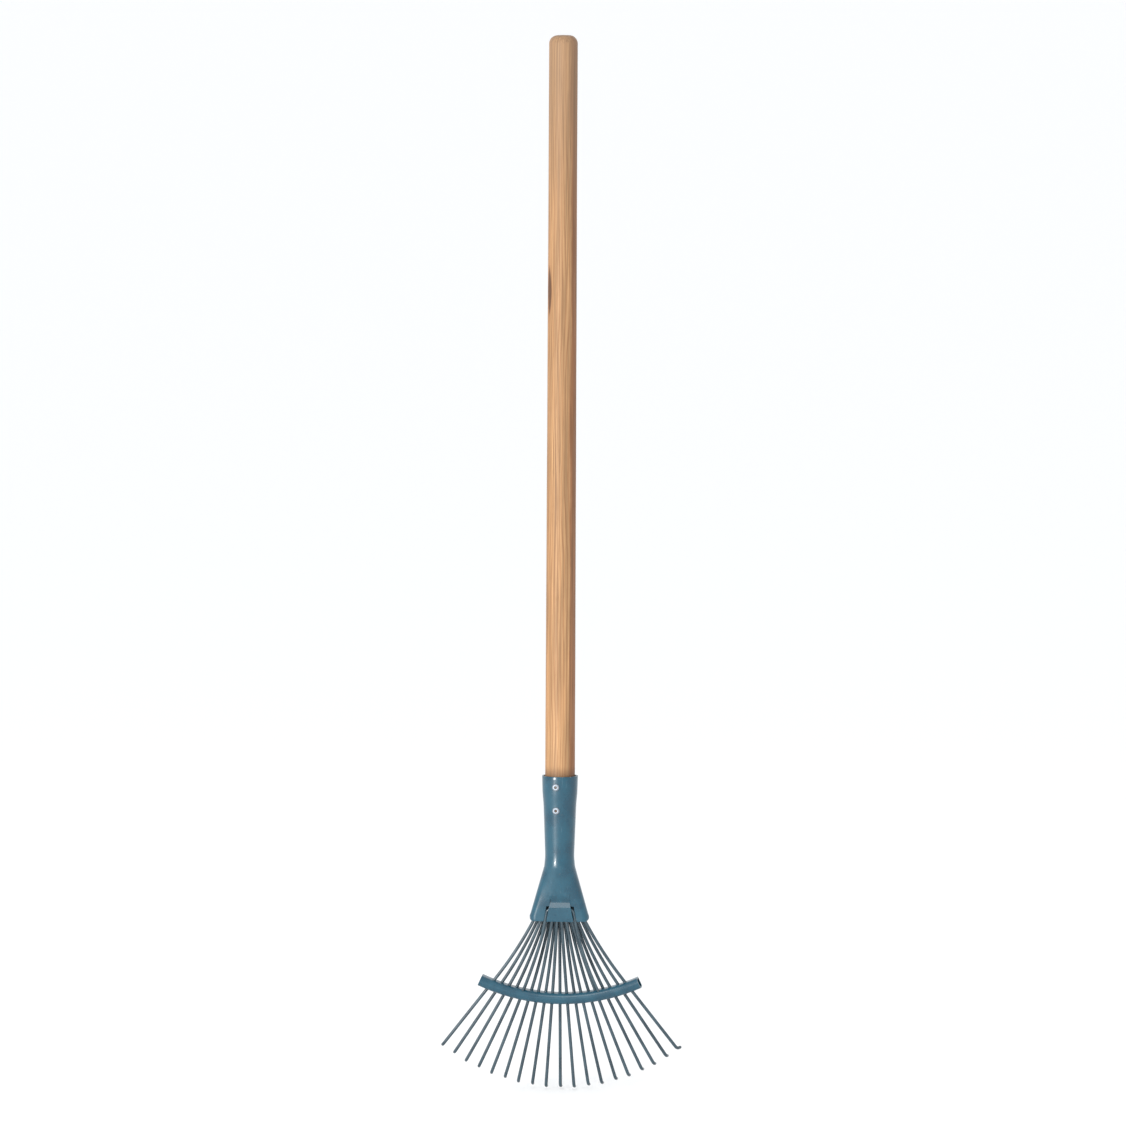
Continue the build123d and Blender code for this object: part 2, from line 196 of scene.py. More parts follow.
# %% One material
class Finish:
    """A material under construction, on a Principled shader."""

    def __init__(self, name):
        self.material = bpy.data.materials.new(name)
        self.material.use_nodes = True
        self.tree = self.material.node_tree
        self.shader = self.tree.nodes["Principled BSDF"]
        self.place = self.node("ShaderNodeTexCoord", output="Object")

    def node(self, kind, settings=None, sockets=None, output=0):
        made = self.tree.nodes.new(kind)
        for key, value in (settings or {}).items():
            setattr(made, key, value)
        for key, value in (sockets or {}).items():
            if isinstance(key, str):
                target = next(s for s in made.inputs if s.name == key and s.enabled)
            else:
                target = made.inputs[key]
            if isinstance(value, Value):
                self.tree.links.new(value.socket, target)
            else:
                target.default_value = value
        if isinstance(output, str):
            return Value(self, next(s for s in made.outputs if s.name == output and s.enabled))
        return Value(self, made.outputs[output])

    def along(self, axis, place=None):
        """The distance along one axis, in metres."""
        return self.node("ShaderNodeSeparateXYZ", {}, {"Vector": place or self.place}, axis)

    def stretched(self, scale, place=None):
        """The place, scaled differently along each axis."""
        settings = {"operation": "MULTIPLY"}
        return self.node("ShaderNodeVectorMath", settings, {0: place or self.place, 1: scale}, "Vector")

    def noise(self, scale, detail=2.0, roughness=0.5, place=None):
        """Soft noise about 0.5, with features of about 1 / scale metres."""
        sockets = {"Vector": place or self.place, "Scale": scale, "Detail": detail, "Roughness": roughness}
        return self.node("ShaderNodeTexNoise", {"normalize": True}, sockets, "Fac")

    def step(self, value, low, high, start=0.0, end=1.0):
        """A smooth step from start to end while value goes from low to high."""
        sockets = {"Value": value, "From Min": low, "From Max": high, "To Min": start, "To Max": end}
        return self.node("ShaderNodeMapRange", {"interpolation_type": "SMOOTHSTEP"}, sockets, "Result")

    def blend(self, share, first, second):
        """Two colours mixed by a share."""
        sockets = {"Factor": share, "A": first, "B": second}
        return self.node("ShaderNodeMix", {"data_type": "RGBA"}, sockets, "Result")

    def shade(self, colour, amount):
        """A colour made darker or lighter by a factor that may vary."""
        settings = {"operation": "SCALE"}
        return self.node("ShaderNodeVectorMath", settings, {"Vector": colour, "Scale": amount}, "Vector")

    def bump(self, height, distance, normal=None):
        sockets = {"Height": height, "Distance": distance, "Strength": 1.0}
        if normal:
            sockets["Normal"] = normal
        return self.node("ShaderNodeBump", {}, sockets, "Normal")

    def set(self, **sockets):
        """Values or links for the shader's own sockets, with _ for the spaces in their names."""
        for key, value in sockets.items():
            target = self.shader.inputs[key.replace("_", " ")]
            if isinstance(value, Value):
                self.tree.links.new(value.socket, target)
            else:
                target.default_value = value


def colour(red, green, blue):
    """A colour given as it looks on a screen, 0 to 255, turned into light."""
    def light(level):
        level = level / 255
        return level / 12.92 if level < 0.04045 else ((level + 0.055) / 1.055) ** 2.4

    return (light(red), light(green), light(blue), 1.0)


# %% [markdown]
# The floor only has to be pale and quiet. It lies just under the lowest tips.

# %% Floor
floor_drop = 1.0
floor_radius = 40.0

shape = bmesh.new()
bmesh.ops.create_circle(shape, cap_ends=True, segments=96, radius=floor_radius)
bmesh.ops.translate(shape, verts=shape.verts, vec=(0.0, 0.0, cad_low.z - floor_drop * mm))
floor_mesh = bpy.data.meshes.new("floor")
shape.to_mesh(floor_mesh)
shape.free()
floor = bpy.data.objects.new("floor", floor_mesh)
bpy.context.collection.objects.link(floor)
floor_finish = Finish("floor_card")
floor_finish.set(Base_Color=(0.93, 0.93, 0.93, 1.0), Roughness=0.9)
floor.data.materials.append(floor_finish.material)

# %% [markdown]
# ## Finish: the ash handle
#
# Plain sanded wood shows three scales of pattern. Broad bands are the growth rings, cut lengthwise by the
# lathe, so they come from the distance to the tree's centre, which lies outside the dowel. Fine streaks
# are fibres, which is noise stretched along the handle. Small dark dashes are pores. A darker stripe with a
# sharp wavy edge runs down one side, partly heartwood and partly painted shade of the side away from the
# key lamp, and one long knot sits on the left.

# %% Wood
handle_low, handle_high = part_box("handle")
socket_low, socket_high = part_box("socket")
rim_z = socket_high.z
grip_top_z = handle_high.z
# which way the darker stripe faces; it is partly heartwood and partly painted shade
heartwood_and_shade_turn = math.radians(26)
knot_turn = math.radians(-56)
mineral_streaks = (   # degrees round from the front, height, half length in metres, half width in mm
    (20.0, -0.464, 0.026, 0.6),
    (54.0, -0.055, 0.150, 0.5),
    (-16.0, -0.310, 0.050, 0.4),
)


def wood():
    finish = Finish("handle_wood")
    x = finish.along("X")
    y = finish.along("Y")
    z = finish.along("Z")
    slow = finish.noise(1.0, 2.0, 0.5, finish.stretched((60.0, 60.0, 7.0))) - 0.5
    wander = finish.noise(1.0, 3.0, 0.6, finish.stretched((90.0, 90.0, 24.0))) - 0.5

    # growth rings round a centre that lies beside the dowel
    from_heart_x = x - 0.034 + slow * 0.010
    from_heart_y = y + 0.021 + wander * 0.003
    to_heart = (from_heart_x * from_heart_x + from_heart_y * from_heart_y) ** 0.5
    ring_width = 2.3 * mm
    ring = (to_heart * (2 * math.pi / ring_width)).sine() * 0.5 + 0.5
    late_wood = ring ** 3.0

    # fibres and pores
    fibre = finish.noise(1.0, 4.0, 0.65, finish.stretched((1500.0, 1500.0, 16.0)))
    pore = finish.noise(1.0, 2.0, 0.5, finish.stretched((3300.0, 3300.0, 90.0)))
    pores = finish.step(pore, 0.66, 0.74)
    blotch = finish.noise(1.0, 3.0, 0.55, finish.stretched((38.0, 38.0, 9.0)))

    # heartwood and painted shade: everything further than its edge towards the right and the back is darker
    across_heartwood_and_shade = x * math.cos(heartwood_and_shade_turn) + y * math.sin(heartwood_and_shade_turn)
    heartwood_and_shade_edge = across_heartwood_and_shade + slow * 0.0075 + wander * 0.0050 + (fibre - 0.5) * 0.0030
    heartwood_and_shade = finish.step(heartwood_and_shade_edge, 2.6 * mm, 4.4 * mm)

    sap = finish.blend(blotch, colour(178, 140, 100), colour(162, 121, 83))
    # painted shade: the dark colour is heartwood darkened further for the side away from the lamp
    dark = finish.blend(blotch, colour(148, 104, 71), colour(130, 90, 60))
    base = finish.blend(heartwood_and_shade, sap, dark)
    base = finish.blend(late_wood * 0.48, base, colour(132, 85, 50))
    base = finish.shade(base, finish.step(fibre, 0.28, 0.72, 0.76, 1.12))
    band = finish.noise(1.0, 3.0, 0.6, finish.stretched((420.0, 420.0, 9.0)))
    base = finish.shade(base, finish.step(band, 0.34, 0.66, 0.74, 1.14))
    base = finish.blend(pores * 0.42, base, colour(104, 69, 45))

    # the knot: a long lens with a dark heart
    around = x * math.cos(knot_turn) + y * math.sin(knot_turn) + wander * 0.0012
    towards_knot = x * math.sin(knot_turn) - y * math.cos(knot_turn)
    facing_knot = finish.step(towards_knot, 4.0 * mm, 7.0 * mm)
    up_knot = abs(z + 0.140 + slow * 0.004) / (23.0 * mm)
    lens = 1.0 - up_knot ** 1.6 - abs(around) / (3.4 * mm)
    knot = finish.step(lens, -0.10, 0.25) * facing_knot
    knot_halo = finish.step(lens, -1.1, 0.4) * facing_knot
    base = finish.blend(knot_halo * 0.35, base, colour(132, 88, 55))
    base = finish.blend(knot * 0.9, base, colour(84, 54, 34))

    # thin dark mineral streaks
    for turn, height, reach, width in mineral_streaks:
        way = math.radians(turn)
        beside = x * math.cos(way) + y * math.sin(way) + wander * 0.0010
        before = finish.step(x * math.sin(way) - y * math.cos(way), 5.0 * mm, 8.0 * mm)
        line = finish.step(abs(beside), 0.2 * mm, width * mm, 1.0, 0.0)
        length = finish.step(abs(z - height + slow * 0.02), reach * 0.6, reach, 1.0, 0.0)
        base = finish.blend(line * length * before * 0.42, base, colour(98, 67, 46))

    # the wood is made lighter low down, handling greys the top, and a darker band runs just above the socket
    base = finish.shade(base, finish.step(z, rim_z, rim_z + 0.26, 1.16, 1.0))
    worn = finish.step(z + blotch * 0.05, -0.10, 0.11)
    base = finish.blend(worn * 0.48, base, colour(143, 118, 94))
    band_above_rim = finish.step(z + (fibre - 0.5) * 0.012, rim_z + 10 * mm, rim_z + 1 * mm)
    base = finish.blend(band_above_rim * 0.62, base, colour(100, 72, 50))
    end_grain = finish.step(z, grip_top_z - 0.9 * mm, grip_top_z)
    base = finish.blend(end_grain * 0.35, base, colour(114, 88, 66))

    roughness = finish.step(fibre, 0.2, 0.8, 0.62, 0.48) + pores * 0.15
    grooves = fibre * 0.6 + late_wood * 0.25 - pores * 0.5 - knot * 0.3
    finish.set(
        Base_Color=base,
        Roughness=roughness,
        Specular_IOR_Level=0.35,
        Normal=finish.bump(grooves, 0.10 * mm),
    )
    return finish.material


wood_finish = wood()
print("made", wood_finish.name)

# %% [markdown]
# ## Finish: slate blue enamel
#
# Dipped enamel on steel is semi-gloss with a faint orange peel, a little thicker and darker in hollows
# and thinner on edges. Dust and rubbing make it uneven in gloss. Where a piece rubs on something the
# paint chips to grey steel, so each piece gets a mask of its own for that, and the shared recipe does the
# rest.

# %% Enamel
steel_grey = colour(128, 126, 122)
rust_brown = colour(104, 78, 60)


def enamel(name, light, dark, rubbed, peel=0.028):
    """Enamel between two colours. rubbed is a function that says how worn each place is, from 0 to 1."""
    finish = Finish(name)
    cloud = finish.noise(55.0, 3.0, 0.55)
    grain = finish.noise(1500.0, 2.0, 0.6)
    fleck = finish.noise(620.0, 2.0, 0.55)
    peel_noise = finish.noise(420.0, 1.0, 0.4)
    base = finish.blend(finish.step(cloud, 0.35, 0.65), dark, light)
    base = finish.shade(base, finish.step(grain, 0.25, 0.75, 0.84, 1.16))

    # brown-grey dust in small scattered specks
    speck = finish.step(fleck, 0.69, 0.77)
    base = finish.blend(speck * 0.35, base, colour(96, 92, 84))

    # long faint rub marks that catch the light
    rub = finish.noise(1.0, 2.0, 0.5, finish.stretched((900.0, 900.0, 45.0)))
    rub_marks = finish.step(rub, 0.70, 0.80)
    base = finish.blend(rub_marks * 0.20, base, colour(142, 166, 182))

    # bare metal where the piece is rubbed
    worn = rubbed(finish)
    bare = finish.step(worn + (fleck - 0.5) * 1.1 + (cloud - 0.5) * 0.8, 0.78, 0.90)
    metal = finish.blend(finish.step(grain, 0.45, 0.7), steel_grey, rust_brown)
    base = finish.blend(bare * 0.85, base, metal)

    roughness = finish.step(cloud, 0.3, 0.7, 0.23, 0.34) + bare * 0.22 + speck * 0.12
    height = peel_noise - bare * 0.8
    finish.set(
        Base_Color=base,
        Metallic=bare * 0.5,
        Roughness=roughness,
        Specular_IOR_Level=0.5,
        Coat_Weight=0.20,
        Coat_Roughness=0.12,
        Normal=finish.bump(height, peel * mm),
    )
    return finish.material


def socket_rubbing(finish):
    """The socket wears at its rim and along its lower edge."""
    z = finish.along("Z")
    rim_wear = finish.step(z, rim_z - 2.2 * mm, rim_z, 0.0, 0.75)
    mouth_wear = finish.step(z, socket_low.z + 1.8 * mm, socket_low.z, 0.0, 0.55)
    return rim_wear + mouth_wear


def bar_rubbing(finish):
    """The crossbar wears at its two ends."""
    x = abs(finish.along("X"))
    bar_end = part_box("crossbar")[1].x
    return finish.step(x, bar_end - 5.0 * mm, bar_end, 0.05, 0.6)


def tip_rubbing(finish):
    """The wires wear bright where their hooks comb the ground."""
    x = finish.along("X")
    z = finish.along("Z") - fan_centre_z
    reach = (x * x + z * z) ** 0.5
    return finish.step(reach, 152.0 * mm, 170.0 * mm, 0.0, 0.72)


fan_centre_z = rim_z - 106.5 * mm
socket_paint = enamel("socket_enamel", colour(20, 74, 93), colour(12, 62, 81), socket_rubbing)
bar_paint = enamel("bar_enamel", colour(20, 74, 93), colour(12, 62, 81), bar_rubbing)
wire_paint = enamel("wire_enamel", colour(54, 74, 84), colour(40, 58, 68), tip_rubbing, 0.018)
print("made", socket_paint.name, bar_paint.name, wire_paint.name)

# %% [markdown]
# ## Finish: rivets and bare steel
#
# Blind rivets are soft aluminium. Forming leaves them bright but not polished, with fine turning marks
# and small dents. The steel stub left in the middle, and the punched plate in the socket's mouth, are
# unpainted, so they are dull and have begun to rust.

# %% Aluminium and steel
def aluminium():
    finish = Finish("rivet_aluminium")
    grain = finish.noise(2600.0, 3.0, 0.6)
    dents = finish.noise(700.0, 2.0, 0.5)
    base = finish.blend(finish.step(grain, 0.3, 0.75), colour(170, 180, 190), colour(126, 132, 140))
    grime = finish.step(dents, 0.58, 0.75)
    base = finish.blend(grime * 0.5, base, colour(96, 90, 82))
    finish.set(
        Base_Color=base,
        Metallic=1.0,
        Roughness=finish.step(dents, 0.3, 0.7, 0.40, 0.55),
        Normal=finish.bump(dents + grain * 0.3, 0.03 * mm),
    )
    return finish.material


def bare_steel():
    finish = Finish("dull_steel")
    grain = finish.noise(1900.0, 3.0, 0.6)
    patch = finish.noise(330.0, 3.0, 0.6)
    rusty = finish.step(patch, 0.45, 0.62)
    metal = finish.blend(finish.step(grain, 0.3, 0.7), colour(112, 108, 103), colour(84, 79, 74))
    base = finish.blend(rusty * 0.75, metal, colour(92, 62, 45))
    finish.set(
        Base_Color=base,
        Metallic=0.85 - rusty * 0.6,
        Roughness=finish.step(grain, 0.3, 0.7, 0.42, 0.58) + rusty * 0.2,
        Normal=finish.bump(patch + grain * 0.5, 0.05 * mm),
    )
    return finish.material


rivet_finish = aluminium()
steel_finish = bare_steel()
for node_name in ("mandrel_upper", "mandrel_lower", "tine_plate"):
    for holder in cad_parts[node_name].material_slots:
        holder.material = steel_finish
print("made", rivet_finish.name, steel_finish.name)

# %% [markdown]
# ## From a bmesh to a finished piece
#
# Every piece ends the same way: the bmesh becomes a mesh that is smooth except at sharp edges, it gets
# its finish, it rides on a body of the frame unless it is given none, and it stands for the CAD nodes that
# it replaces.

# %% Finishing a piece
sharp_angle = math.radians(40)


def finished(shape, name, material, nodes, body="frame"):
    """Turns a bmesh into a smooth-shaded object that stands for some CAD nodes."""
    bmesh.ops.remove_doubles(shape, verts=shape.verts, dist=0.002 * mm)
    bmesh.ops.recalc_face_normals(shape, faces=shape.faces)
    mesh = bpy.data.meshes.new(name)
    shape.to_mesh(mesh)
    shape.free()
    mesh.polygons.foreach_set("use_smooth", [True] * len(mesh.polygons))
    mesh.set_sharp_from_angle(angle=sharp_angle)
    mesh.materials.append(material)
    piece = bpy.data.objects.new(name, mesh)
    bpy.context.collection.objects.link(piece)
    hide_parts(*nodes)
    if body:
        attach(piece, body)
    print(name, len(mesh.polygons), "faces")
    return piece


def round_edges(piece, width, segments=2):
    """A live Bevel that takes the knife edge off every sharp corner."""
    bevel = piece.modifiers.new("rounded_edges", "BEVEL")
    bevel.width = width * mm
    bevel.segments = segments
    bevel.limit_method = "ANGLE"
    bevel.angle_limit = sharp_angle
    bevel.use_clamp_overlap = True
    return bevel


# %% [markdown]
# ## The handle
#
# A dowel is a lathe piece: half of its outline, spun once round the axis. The outline is swollen slightly
# towards the socket, as the real one is, and its top end is sanded round by hand. So the spin is cut into
# many rings first, and every point is then moved inwards by a little smooth noise, more at the top where
# the sanding was done.

# %% Handle
sheet = 1.2
grip_radius = 12.4
grip_foot_z = -60.0
handle_radius = 12.95
top_rounding = 7.0
taper_start_drop = 25.0
neck_drop = 70.0
neck_radius = 12.5
grip_z = grip_top_z / mm
handle_foot_z = handle_low.z / mm
rim_height = rim_z / mm
tube_top_z = rim_height - taper_start_drop
taper = (handle_radius + sheet - neck_radius) / (neck_drop - taper_start_drop)
handle_foot_radius = handle_radius - taper * (tube_top_z - handle_foot_z)

outline = [
    (0.0, handle_foot_z),
    (handle_foot_radius - 1.0, handle_foot_z),
    (handle_foot_radius, handle_foot_z + 1.0),
    (handle_radius, tube_top_z),
    (handle_radius, rim_height),
    (grip_radius, grip_foot_z),
    (grip_radius, grip_z - top_rounding),
]
arc_steps = 10
for number in range(1, arc_steps + 1):
    angle = math.radians(90) * number / arc_steps
    outline.append((
        grip_radius - top_rounding * (1 - math.cos(angle)),
        grip_z - top_rounding * (1 - math.sin(angle)),
    ))
outline.append((0.0, grip_z))

shape = bmesh.new()
corners = [shape.verts.new((radius * mm, 0.0, height * mm)) for radius, height in outline]
edges = [shape.edges.new(pair) for pair in zip(corners, corners[1:])]
for edge in list(edges):
    pieces = int(edge.calc_length() / (12.0 * mm))
    if pieces > 1:
        bmesh.ops.subdivide_edges(shape, edges=[edge], cuts=pieces)
bmesh.ops.spin(
    shape,
    geom=shape.verts[:] + shape.edges[:],
    cent=(0.0, 0.0, 0.0),
    axis=(0.0, 0.0, 1.0),
    angle=math.radians(360),
    steps=72,
    use_merge=True,
)
for vert in shape.verts:
    flat = Vector((vert.co.x, vert.co.y, 0.0))
    if flat.length < 0.5 * mm:
        continue
    wave = noise.noise(Vector((flat.x * 60, flat.y * 60, vert.co.z * 14)))
    sanded = noise.noise(Vector((vert.co.x * 210, vert.co.y * 210, vert.co.z * 90)) + Vector((7, 3, 1)))
    near_top = max(0.0, 1 - (grip_top_z - vert.co.z) / (9.0 * mm))
    inwards = (0.07 + 0.07 * wave + near_top * (0.22 + 0.4 * sanded)) * mm
    vert.co -= flat.normalized() * inwards
    vert.co.z -= near_top * max(0.0, sanded) * 0.25 * mm
handle = finished(shape, "handle_wood_dowel", wood_finish, ["handle"])

# %% [markdown]
# ## The socket
#
# The real socket is one sheet, rolled to a tube that grips the handle and pressed flat below into a
# flare. It is made here as a skin first: rings of points down the tube, whose outline changes from a
# circle to a flat slot shape. Two slots are then cut beside a tongue in the front wall, the tongue is
# pressed out to hold the brace wire, with a hollow above it, and Solidify gives the skin the thickness of
# the sheet.

# %% Outline of the socket at a height
crease_drop = 78.5
crease_radius = 13.3
crease_z = rim_height - crease_drop
shoulder_z = rim_height - 122.5
mouth_z = rim_height - 126.4
mouth_half_width = socket_high.x / mm
mouth_half_depth = 6.0
side_arc = math.radians(35)
tube_steps = (   # distance below the rim and outer radius
    (0.0, 15.5),
    (15.0, 15.1),
    (taper_start_drop, 14.15),
    (neck_drop, neck_radius),
    (crease_drop, crease_radius),
    (200.0, crease_radius),
)


def straight_between(steps, at):
    """The value at a place on a line through several (place, value) steps."""
    for (start, first), (end, last) in zip(steps, steps[1:]):
        if at <= end:
            return first + (last - first) * max(0.0, at - start) / (end - start)
    return steps[-1][1]


def eased(function, at, reach):
    """A function averaged over a short reach, so that its corners become soft."""
    samples = 9
    spots = (at + reach * (2 * number / (samples - 1) - 1) for number in range(samples))
    return sum(function(spot) for spot in spots) / samples


def tube_radius(drop):
    """Outer radius of the tube at a distance below the rim, with the soft shoulders that pressing leaves."""
    reach = min(2.5, drop) if drop < neck_drop else 1.6
    return eased(lambda at: straight_between(tube_steps, at), drop, reach)


def flare_share(height):
    """0 down to the crease, and 1 from the shoulder on, with a short soft start."""
    def plain(at):
        return min(1.0, max(0.0, (crease_z - at) / (crease_z - shoulder_z)))

    return eased(plain, height, 1.3)


def socket_point(angle, height):
    """A point of the outer skin. angle goes round from the right, seen from above."""
    round_radius = tube_radius(rim_height - height)
    round_point = Vector((math.cos(angle), math.sin(angle), 0.0)) * round_radius
    straight_half = mouth_half_width - mouth_half_depth
    side = 1 if math.cos(angle) > 0 else -1
    from_side = math.atan2(math.sin(angle), abs(math.cos(angle)))
    if abs(from_side) <= side_arc:
        turn = from_side / side_arc * math.pi / 2
        flat_x = straight_half + mouth_half_depth * math.cos(turn)
        flat_y = mouth_half_depth * math.sin(turn)
    else:
        flat_x = straight_half * (math.pi / 2 - abs(from_side)) / (math.pi / 2 - side_arc)
        flat_y = math.copysign(mouth_half_depth, from_side)
    flat_point = Vector((side * flat_x, flat_y, 0.0))
    place = round_point.lerp(flat_point, flare_share(height))
    place.z = height
    return place * mm


# %% [markdown]
# The rings lie closer together where the tongue is, because its bends are only a few millimetres apart.

# %% Skin of the socket
brace_radius = 1.15
brace_fit = 0.15
tongue_shift = 1.2
tongue_low_width = 23.6
tongue_high_width = 17.0
tongue_height = 11.7
ledge_height = 5.6
hollow_height = 5.2
slot_above_ledge = 1.6
tongue_slope = math.atan((tongue_low_width - tongue_high_width) / 2 / (tongue_height + ledge_height))
ledge_z = mouth_z + tongue_height
dent_z = ledge_z + ledge_height
strip_top_z = dent_z + hollow_height
slot_width = 2 * (brace_radius + brace_fit)
slot_top_z = ledge_z + slot_above_ledge

ring_heights = [rim_height - 3.0 * number for number in range(26)]
ring_heights += [crease_z + 1.5, crease_z + 0.5, crease_z - 0.5, crease_z - 1.5]
height = crease_z - 3.0
while height > mouth_z + 1.0:
    ring_heights.append(height)
    height -= 2.5 if height > strip_top_z + 2.0 else 0.65
ring_heights.append(mouth_z)
round_steps = 180

shape = bmesh.new()
made = bmesh.ops.create_circle(shape, cap_ends=False, segments=round_steps, radius=1.0)
ring = made["verts"]
rows = [ring]
for height in ring_heights[1:]:
    last_edges = [edge for edge in shape.edges if all(vert in rows[-1] for vert in edge.verts)]
    grown = bmesh.ops.extrude_edge_only(shape, edges=last_edges)
    fresh = [item for item in grown["geom"] if isinstance(item, bmesh.types.BMVert)]
    rows.append(fresh)
    for vert in fresh:
        vert.co.z = 0.0
for row, height in zip(rows, ring_heights):
    for vert in row:
        vert.co = socket_point(math.atan2(vert.co.y, vert.co.x), height)
print("socket skin", len(shape.faces), "faces")


# %% [markdown]
# Cutting with `bisect_plane` only adds edges along a plane, so it can be limited to the front faces. Four
# slanting planes mark the slots and level ones mark where they end. The faces between are then deleted.
# Above the slots the sheet isn't cut, so there the sides of the hollow are drawn out of the wall.

# %% Slots and tongue
def tongue_edge(height):
    """Half of the tongue's width at a height."""
    return tongue_low_width / 2 - (height - mouth_z) * math.tan(tongue_slope)


def on_front(item, top):
    middle = item.calc_center_median()
    return middle.y < 0 and middle.z < top * mm


def cut(shape, place, normal, top):
    """Adds edges along a plane through the front wall, below a height."""
    faces = [face for face in shape.faces if on_front(face, top)]
    edges = {edge for face in faces for edge in face.edges}
    verts = {vert for face in faces for vert in face.verts}
    bmesh.ops.bisect_plane(
        shape,
        geom=list(verts) + list(edges) + faces,
        dist=0.001 * mm,
        plane_co=Vector(place) * mm,
        plane_no=normal,
    )


dent_side = 0.7
above_strip = strip_top_z + 4.0
for level in (strip_top_z, dent_z, dent_z - 0.5, slot_top_z, ledge_z + 0.5, ledge_z):
    cut(shape, (0.0, 0.0, level), (0.0, 0.0, 1.0), above_strip)
for side in (-1, 1):
    lean_of_edge = Vector((math.cos(tongue_slope), 0.0, side * math.sin(tongue_slope)))
    for outwards in (0.0, slot_width):
        edge_x = tongue_shift + side * (tongue_edge(dent_z) + outwards)
        cut(shape, (edge_x, 0.0, dent_z), lean_of_edge, dent_z + 0.01)
    for outwards in (0.0, dent_side):
        edge_x = tongue_shift + side * (tongue_edge(dent_z) + outwards)
        cut(shape, (edge_x, 0.0, dent_z), (1.0, 0.0, 0.0), above_strip)

slots = []
for face in shape.faces:
    middle = face.calc_center_median() / mm
    from_tongue = abs(middle.x - tongue_shift) - tongue_edge(middle.z)
    if middle.y < 0 and middle.z < slot_top_z and 0.0 < from_tongue < slot_width:
        slots.append(face)
bmesh.ops.delete(shape, geom=slots, context="FACES")
print("slots opened by", len(slots), "faces")

# %% [markdown]
# The strip between the slots is pushed to its pressed shape. Seen from the side it comes down the wall,
# steps in to a hollow, comes out over the brace wire on a sloping ledge, and runs flat to the mouth.

# %% Pressing the tongue
dent_depth = 1.6
lean = math.radians(4.5)
fan_centre_drop = 106.5
fan_centre = Vector((0.0, 0.0, rim_height - fan_centre_drop))
right = Vector((1.0, 0.0, 0.0))
up = Vector((0.0, -math.sin(lean), math.cos(lean)))
front = Vector((0.0, -math.cos(lean), -math.sin(lean)))


def in_fan(x, y, z=0.0):
    """A place given in the fan's leaning plane: to the right, up and forwards from the fan's centre."""
    return fan_centre + right * x + up * y + front * z


tine_radius = 1.4
row_offset = 1.6
bar_radius = 166.0
bar_height = 9.6
bar_drop = 88.3
bar_centre_y = bar_radius - bar_drop
bar_top_radius = bar_radius - bar_height / 2
brace_half_span = 34.0
brace_in_bar = 3.5
brace_gap = 0.5
brace_end_drop = math.sqrt(bar_top_radius ** 2 - brace_half_span ** 2) - bar_centre_y + brace_in_bar
brace_end = in_fan(0.0, -brace_end_drop, row_offset + tine_radius + brace_gap + brace_radius)
brace_top = Vector((tongue_shift, sheet / 2 - mouth_half_depth, mouth_z))
brace_lean = math.atan((brace_end.y - brace_top.y) / (brace_top.z - brace_end.z))


def front_wall(height):
    """Depth of the flare's front at a height."""
    share = (height - shoulder_z) / (crease_z - shoulder_z)
    return -(mouth_half_depth + (crease_radius - mouth_half_depth) * share)


def tongue_face(height):
    """Depth of the tongue's outer face at a height."""
    out = (brace_radius + brace_fit + sheet) / math.cos(brace_lean)
    return brace_top.y - (height - mouth_z) * math.tan(brace_lean) - out


pressed = (
    (mouth_z - 5.0, tongue_face(mouth_z - 5.0)),
    (ledge_z, tongue_face(ledge_z)),
    (dent_z, front_wall(dent_z) + dent_depth),
    (strip_top_z, front_wall(strip_top_z)),
    (strip_top_z + 9.0, front_wall(strip_top_z + 9.0)),
)
for vert in shape.verts:
    place = vert.co / mm
    limit = tongue_edge(min(place.z, dent_z)) + 0.05
    if place.y < 0 and place.z < strip_top_z + 1.2 and abs(place.x - tongue_shift) < limit:
        vert.co.y = eased(lambda at: straight_between(pressed, at), place.z, 0.7) * mm

corner = 3.4
squeezed = 2 * corner
for vert in shape.verts:
    beyond = min(corner, abs(vert.co.x) / mm - (mouth_half_width - corner))
    share = 1 - (vert.co.z / mm - mouth_z) / squeezed
    if beyond > 0 and share > 0:
        vert.co.z += share * (corner - math.sqrt(corner ** 2 - beyond ** 2)) * mm

bmesh.ops.dissolve_degenerate(shape, dist=0.06 * mm, edges=shape.edges)
bmesh.ops.recalc_face_normals(shape, faces=shape.faces)
socket = finished(shape, "socket_shell", socket_paint, ["socket"])
wall = socket.modifiers.new("sheet_thickness", "SOLIDIFY")
wall.thickness = sheet * mm
wall.offset = -1.0
wall.use_even_offset = False
round_edges(socket, 0.22)

# %% [markdown]
# ## Wire
#
# All the wire on the rake is bent from straight stock, so a small class bends it the way a maker does: it
# starts with a ring of edges, pushes out straight lengths, and turns round a former. Each step is an
# extrusion of the last ring, so one wire is one clean tube, and its ends are rounded off at the end.

